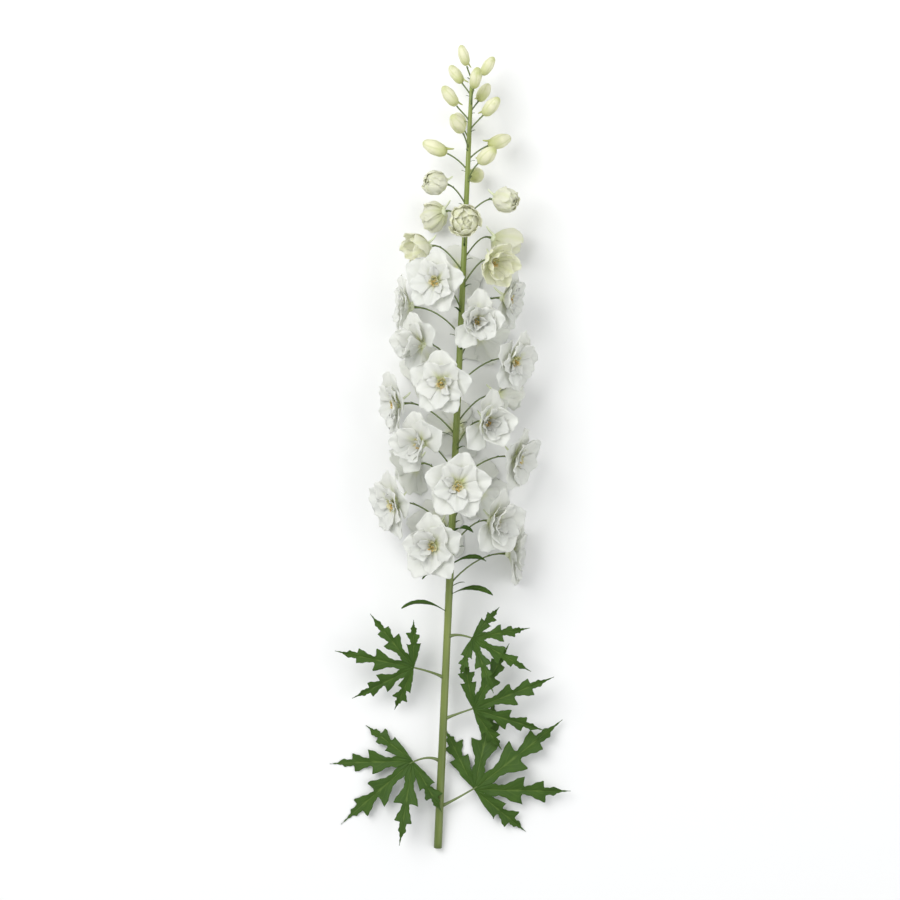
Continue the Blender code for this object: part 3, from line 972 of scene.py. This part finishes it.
def centre_dress(shade):
    soft = shade.noise(700, 3.0)
    along, tone = shade.attribute("along"), shade.attribute("tone")
    cream = soft.mix((0.90, 0.84, 0.56, 1), (0.93, 0.91, 0.76, 1))
    greener = (tone * (1.3 - along)).held().mix(cream, (0.68, 0.72, 0.26, 1))
    return {"Base Color": (1 - along * 1.7).held().mix(greener, (0.74, 0.68, 0.24, 1))}


def back_dress(shade):
    soft = shade.noise(160, 3.0)
    return {"Base Color": soft.mix((0.60, 0.66, 0.38, 1), (0.80, 0.82, 0.68, 1))}


def anther_dress(shade):
    soft = shade.noise(420, 2.0)
    return {"Base Color": ((soft - 0.35) * 3).held().mix((0.45, 0.24, 0.05, 1), (0.85, 0.62, 0.20, 1))}


petal_skin = material("petal", petal_dress, 0.55, (0.90, 0.91, 0.85, 1), 0.42)
centre_skin = material("centre_petal", centre_dress, 0.6, (0.90, 0.86, 0.52, 1), 0.38)
back_skin = material("receptacle_and_spur", back_dress, 0.55)
anther_skin = material("anther", anther_dress, 0.7)
floret_looks = (petal_skin, centre_skin, back_skin, anther_skin)

for flower in flowers:
    if flower.kind == "open":
        name = flower.name.replace("floret", "open_bloom")
        finish_piece(name, make_floret(flower), floret_looks, flower.name)

# The opening florets: cups of cream petals that have not yet spread, smaller and greener
# towards the buds. They are made as the open ones are, with their petals more upright.


# The petals folded inside the outer five: turn, share of their size, how far they close
INSIDE_WHORLS = ((36, 0.98, 0.4), (8, 0.96, 0.7), (50, 0.94, 1.0))
CLOSED_END = math.radians(187)


def opening_dress(shade):
    along, across = shade.attribute("along"), shade.attribute("across")
    soft = shade.noise(70, 3.0)
    rib = (1 - abs(across) * 3.2).held()
    veins = ((across * 27 + (soft - 0.5) * 3).sine() * 2.4 - 1.3).held()
    pale = soft.mix((0.89, 0.89, 0.75, 1), (0.93, 0.93, 0.85, 1))
    veined = (veins * 0.14).mix(pale, (0.78, 0.80, 0.54, 1))
    ribbed = (rib * 0.4).mix(veined, (0.75, 0.79, 0.43, 1))
    return {
        "Base Color": ((1 - along * 2.2).held() * 0.7).mix(ribbed, (0.68, 0.73, 0.33, 1)),
        "Normal": (soft * 0.5 - veins * 0.35).bump(0.4, 0.0005),
    }


def make_opening(flower):
    chance = random.Random(f"{SEED} soft {flower.name}")
    shape = new_shape()
    walls = walls_round(flower)
    petals = flower_petals(flower, walls)
    for petal in petals:
        add_petal(shape, soft_petal(flower, petal, chance, walls, 0.7, 1.2), chance.random())
    for turn, size, closing in INSIDE_WHORLS if len(petals) == WHORL else ():
        for petal in petals:
            first = petal.lift + petal.bend / 2 - 0.2 * closing
            last = between(petal.lift - petal.bend / 2, CLOSED_END, closing)
            inside = petal._replace(
                turn=petal.turn + math.radians(turn),
                length=petal.length * size,
                half_width=petal.half_width * size,
                base=0.0012,
                lift=(first + last) / 2,
                bend=first - last,
            )
            add_petal(shape, soft_petal(flower, inside, chance, walls, 0.7), chance.random())
    add_tuft(shape, flower, chance, walls)
    add_heart(shape, flower)
    add_spur(shape, flower)
    return shape


opening_skin = material("opening_petal", opening_dress, 0.55, (0.95, 0.95, 0.80, 1), 0.45)
opening_looks = (opening_skin, centre_skin, back_skin, anther_skin)

for flower in flowers:
    if flower.kind == "opening":
        name = flower.name.replace("opening_floret", "opening_bloom")
        finish_piece(name, make_opening(flower), opening_looks, flower.name)

# The buds: closed green-white flowers, long and blunt, each on its own stalk. The edges of the
# folded petals show as seams that wind from base to tip.

BUD_PROFILE = ((0.0, 0.30), (0.22, 0.90), (0.55, 1.04), (0.84, 0.70), (0.95, 0.40), (1.0, 0.0))
BUD_SEAMS = 5
SEAM_DEPTH = 0.08
BUD_SPUR_SHARE = 0.40


def bud_girth(t):
    """The share of its full girth that a bud has, t of the way from its stalk to its tip."""
    for (start, first), (end, second) in zip(BUD_PROFILE, BUD_PROFILE[1:]):
        if t <= end:
            share = (t - start) / (end - start)
            eased = math.sin(share * math.pi / 2) if second > first else 1 - math.cos(share * math.pi / 2)
            return between(first, second, between(share, eased, 0.6))
    return 0.0


def make_bud(flower):
    shape = new_shape()
    along = shape.verts.layers.float["along"]
    across = shape.verts.layers.float["across"]
    right = flower.up.cross(flower.face)
    start = flower.foot + flower.up * flower.girth * 0.55 + flower.face * flower.reach * 0.2
    spur = flower.reach * BUD_SPUR_SHARE

    def spur_path(t):
        back = flower.face * spur * (1.0 * t - 0.1 * t * t)
        return start - back + flower.up * spur * (0.10 * t + 0.22 * t * t)

    def spur_radius(t):
        return flower.girth * between(0.24, 0.09, t**0.8) * (1 - 0.7 * max((t - 0.9) / 0.1, 0) ** 2)

    grow_tube(shape, spur_path, spur_radius, 9, 10, flower.face)
    ball = bmesh.ops.create_uvsphere(shape, u_segments=30, v_segments=26, radius=1)
    for point in ball["verts"]:
        t = 1 - math.acos(max(min(point.co.z, 1), -1)) / math.pi
        angle = math.atan2(point.co.y, point.co.x)
        seam = math.cos(BUD_SEAMS * angle + 3.0 * t)
        seam_cut = 1 - SEAM_DEPTH * max(seam, 0) ** 4 * math.sin(math.pi * min(t * 0.9 + 0.1, 1))
        girth = flower.girth * bud_girth(t) * seam_cut
        if math.hypot(point.co.x, point.co.y) < 1e-4:
            girth = 0
        point[along], point[across] = t, seam
        spot = right * math.cos(angle) + flower.up * math.sin(angle)
        point.co = flower.foot + flower.face * flower.reach * t + spot * girth
    for face in shape.faces:
        face.smooth = True
    return shape


def bud_dress(shade):
    along, seam = shade.attribute("along"), shade.attribute("across")
    soft = shade.noise(130, 3.0)
    body = (along * 1.9 + (soft - 0.5) * 0.8).held()
    fresh = body.mix((0.48, 0.52, 0.18, 1), (0.84, 0.83, 0.60, 1))
    spotted = ((soft - 0.56) * 4).held().mix(fresh, (0.58, 0.62, 0.28, 1))
    tipped = ((along - 0.80) * 4 + (soft - 0.5) * 1.4).held().mix(spotted, (0.52, 0.57, 0.21, 1))
    return {
        "Base Color": ((seam - 0.6) * 1.6).held().mix(tipped, (0.60, 0.64, 0.30, 1)),
        "Normal": soft.bump(0.3, 0.0004),
    }


bud_skin = material("bud", bud_dress, 0.5, (0.86, 0.86, 0.50, 1), 0.2)

for flower in flowers:
    if flower.kind == "bud":
        name = flower.name.replace("bud", "closed_bud")
        finish_piece(name, make_bud(flower), (bud_skin,), flower.name)

# The leaves: each a thin blade cut nearly to its middle into five lobes with narrow teeth that
# point forward, carried out from the stem on its own stalk. Dull dark green with paler ribs.

LEAF_THICKNESS = 0.0005
LEAF_STALK_RADIUS = 0.0012
LOBE_TURNS = tuple(math.radians(a) for a in (-78, -39, 0, 39, 78))
LOBE_LENGTHS = (0.60, 0.86, 1.0, 0.86, 0.60)
LOBE_TEETH = ((0.45, 0.105), (0.67, 0.070), (0.82, 0.024))
LOBE_STEM_WIDTH = 0.055
SINUS_RADIUS = 0.17
SINUS_SHARE = 0.33
LEAF_ARCH = 2.6
LEAF_CURL = 2.2
LEAF_FOLD = 0.25
LOBE_COLUMNS = 14
LOBE_ROWS = 72

Leaf = namedtuple("Leaf", "name node turn stalk heading pitch roll size")

LEAVES = (
    Leaf("leaf_1", 0.040, 96, 0.030, 38, 6, 8, 0.104),
    Leaf("leaf_2", 0.082, -98, 0.026, 222, 4, -14, 0.090),
    Leaf("leaf_3", 0.122, 78, 0.024, 22, 14, -12, 0.080),
    Leaf("leaf_4", 0.160, -76, 0.026, 168, 10, 16, 0.074),
    Leaf("leaf_5", 0.198, 64, 0.022, -30, 16, 10, 0.062),
)


def leaf_surface_point(hub, leaf, distance, turn, aside=0.0, off=0.0):
    """A point of a leaf's arched blade, distance from its hub along a lobe, aside from its rib."""
    heading = math.radians(leaf.heading)
    way = heading - turn
    offset = Vector((math.cos(way), math.sin(way), 0)) * distance
    offset += Vector((math.sin(way), -math.cos(way), 0)) * aside
    ahead = offset.dot(Vector((math.cos(heading), math.sin(heading), 0)))
    across = offset.dot(Vector((math.sin(heading), -math.cos(heading), 0)))
    offset.z = ahead * math.tan(math.radians(leaf.pitch)) + across * math.tan(math.radians(leaf.roll))
    curl = LEAF_CURL * math.sin(3 * (turn + math.atan2(aside, distance)) + heading)
    offset.z += LEAF_FOLD * abs(aside) - (LEAF_ARCH - curl) * distance * distance + off
    return pressed(hub + offset, TABLE_SKIN)


def lobe_edge(t, share, play):
    """Half the width of a lobe in leaf lengths, and how far forward its edge is drawn there."""
    teeth = 0.0
    for place, (at, width) in enumerate(LOBE_TEETH):
        at += 0.02 * play[place]
        spread = 0.10 if t < at else 0.030
        teeth += width * (1 + 0.2 * play[place + 3]) * math.exp(-(((t - at) / spread) ** 2))
    width = LOBE_STEM_WIDTH * (1 - t) ** 0.7 + teeth + 0.004 * math.sin(95 * t)
    width = min(width * between(0.8, 1.0, share), t * share * SINUS_SHARE)
    web = math.tan((LOBE_TURNS[1] - LOBE_TURNS[0]) / 2) * t * share
    sinus = SINUS_RADIUS / share
    width = between(web, width, smooth((t - sinus * 0.85) / (sinus * 0.5)))
    return width * min((1 - t) / 0.10, 1), teeth * 0.55 * min((1 - t) / 0.3, 1)


def make_leaf(leaf):
    chance = random.Random(f"{SEED} soft {leaf.name}")
    shape = new_shape()
    outward = stem_outward(leaf.node, math.radians(leaf.turn))
    along = stem_along(leaf.node)
    heading = math.radians(leaf.heading)
    away = Vector((math.cos(heading), math.sin(heading), 0))
    start = stem_point(leaf.node) + outward * (stem_radius(leaf.node) - 0.0006)
    hub = start + (outward + along * 0.4) * leaf.stalk * 0.6 + away * leaf.stalk * 0.45
    hub.z = max(hub.z, 0.006)
    for turn, share in zip(LOBE_TURNS, LOBE_LENGTHS):
        plays = [[chance.uniform(-1, 1) for _ in range(6)] for side in range(2)]

        def place(t, v, turn=turn, share=share, plays=plays):
            width, forward = lobe_edge(t, share, plays[v > 0])
            distance = leaf.size * share * min(t + forward * v * v * smooth(t / 0.35), 1.0)
            ripple = 0.0007 * math.sin(t * 21 + 3 * v) * abs(v)
            crease = -0.0006 * math.exp(-((v / 0.10) ** 2))
            return leaf_surface_point(hub, leaf, distance, turn, v * width * leaf.size, ripple + crease)

        add_blade(shape, place, LOBE_COLUMNS, LOBE_ROWS, LEAF_THICKNESS)
    bend = start + (outward + along * 0.5) * leaf.stalk * 0.4
    inside = hub + away * 0.004

    def path(t):
        u = 1 - t
        return start * u * u + bend * 2 * u * t + inside * t * t

    grow_tube(
        shape, path, lambda t: LEAF_STALK_RADIUS * (1 + 0.5 * (1 - t) ** 4 - 0.4 * t), 10, 16, UP, look=1
    )
    return shape


for leaf in LEAVES:
    name = leaf.name.replace("leaf", "cut_leaf")
    finish_piece(name, make_leaf(leaf), (leaf_skin, stalk_skin), leaf.name)

# The studio: a plain pale table, a broad soft light from above and the left with a weaker one
# opposite, and a camera that looks straight down, as the photo looks at the spike from its side.

TABLE_SIDE = 24.0
CAMERA_HEIGHT = 2.6
SHOWN_HEIGHT = 0.82
SENSOR = 36.0


def table_dress(shade):
    return {"Base Color": (0.86, 0.86, 0.85, 1)}


floor_shape = bmesh.new()
bmesh.ops.create_grid(floor_shape, x_segments=1, y_segments=1, size=TABLE_SIDE / 2)
floor_mesh = bpy.data.meshes.new("table_top")
floor_shape.to_mesh(floor_mesh)
floor_shape.free()
floor = bpy.data.objects.new("table_top", floor_mesh)
bpy.context.scene.collection.objects.link(floor)
floor_mesh.materials.append(material("pale_table", table_dress, 0.8))


def soft_light(name, place, target, size, power):
    lamp = bpy.data.lights.new(name, "AREA")
    lamp.shape = "SQUARE"
    lamp.size = size
    lamp.energy = power
    holder = bpy.data.objects.new(name, lamp)
    holder.location = place
    holder.rotation_euler = (Vector(target) - Vector(place)).to_track_quat("-Z", "Y").to_euler()
    bpy.context.scene.collection.objects.link(holder)


soft_light("key_light", (-1.1, 0.9, 1.9), (0, 0, 0), 1.6, 42)
soft_light("fill_light", (1.5, -0.4, 1.6), (0, 0, 0), 1.8, 16)
world = bpy.data.worlds.new("studio")
bpy.context.scene.world = world
world.use_nodes = True
world.node_tree.nodes["Background"].inputs["Color"].default_value = (0.95, 0.97, 1.0, 1)
world.node_tree.nodes["Background"].inputs["Strength"].default_value = 0.55

lens_data = bpy.data.cameras.new("camera")
lens_data.sensor_width = SENSOR
lens_data.lens = SENSOR * (CAMERA_HEIGHT - 0.05) / SHOWN_HEIGHT
lens_data.clip_end = 50
camera = bpy.data.objects.new("camera", lens_data)
camera.location = (0, 0, CAMERA_HEIGHT)
bpy.context.scene.collection.objects.link(camera)
bpy.context.scene.camera = camera
bpy.context.scene.view_settings.view_transform = "Standard"
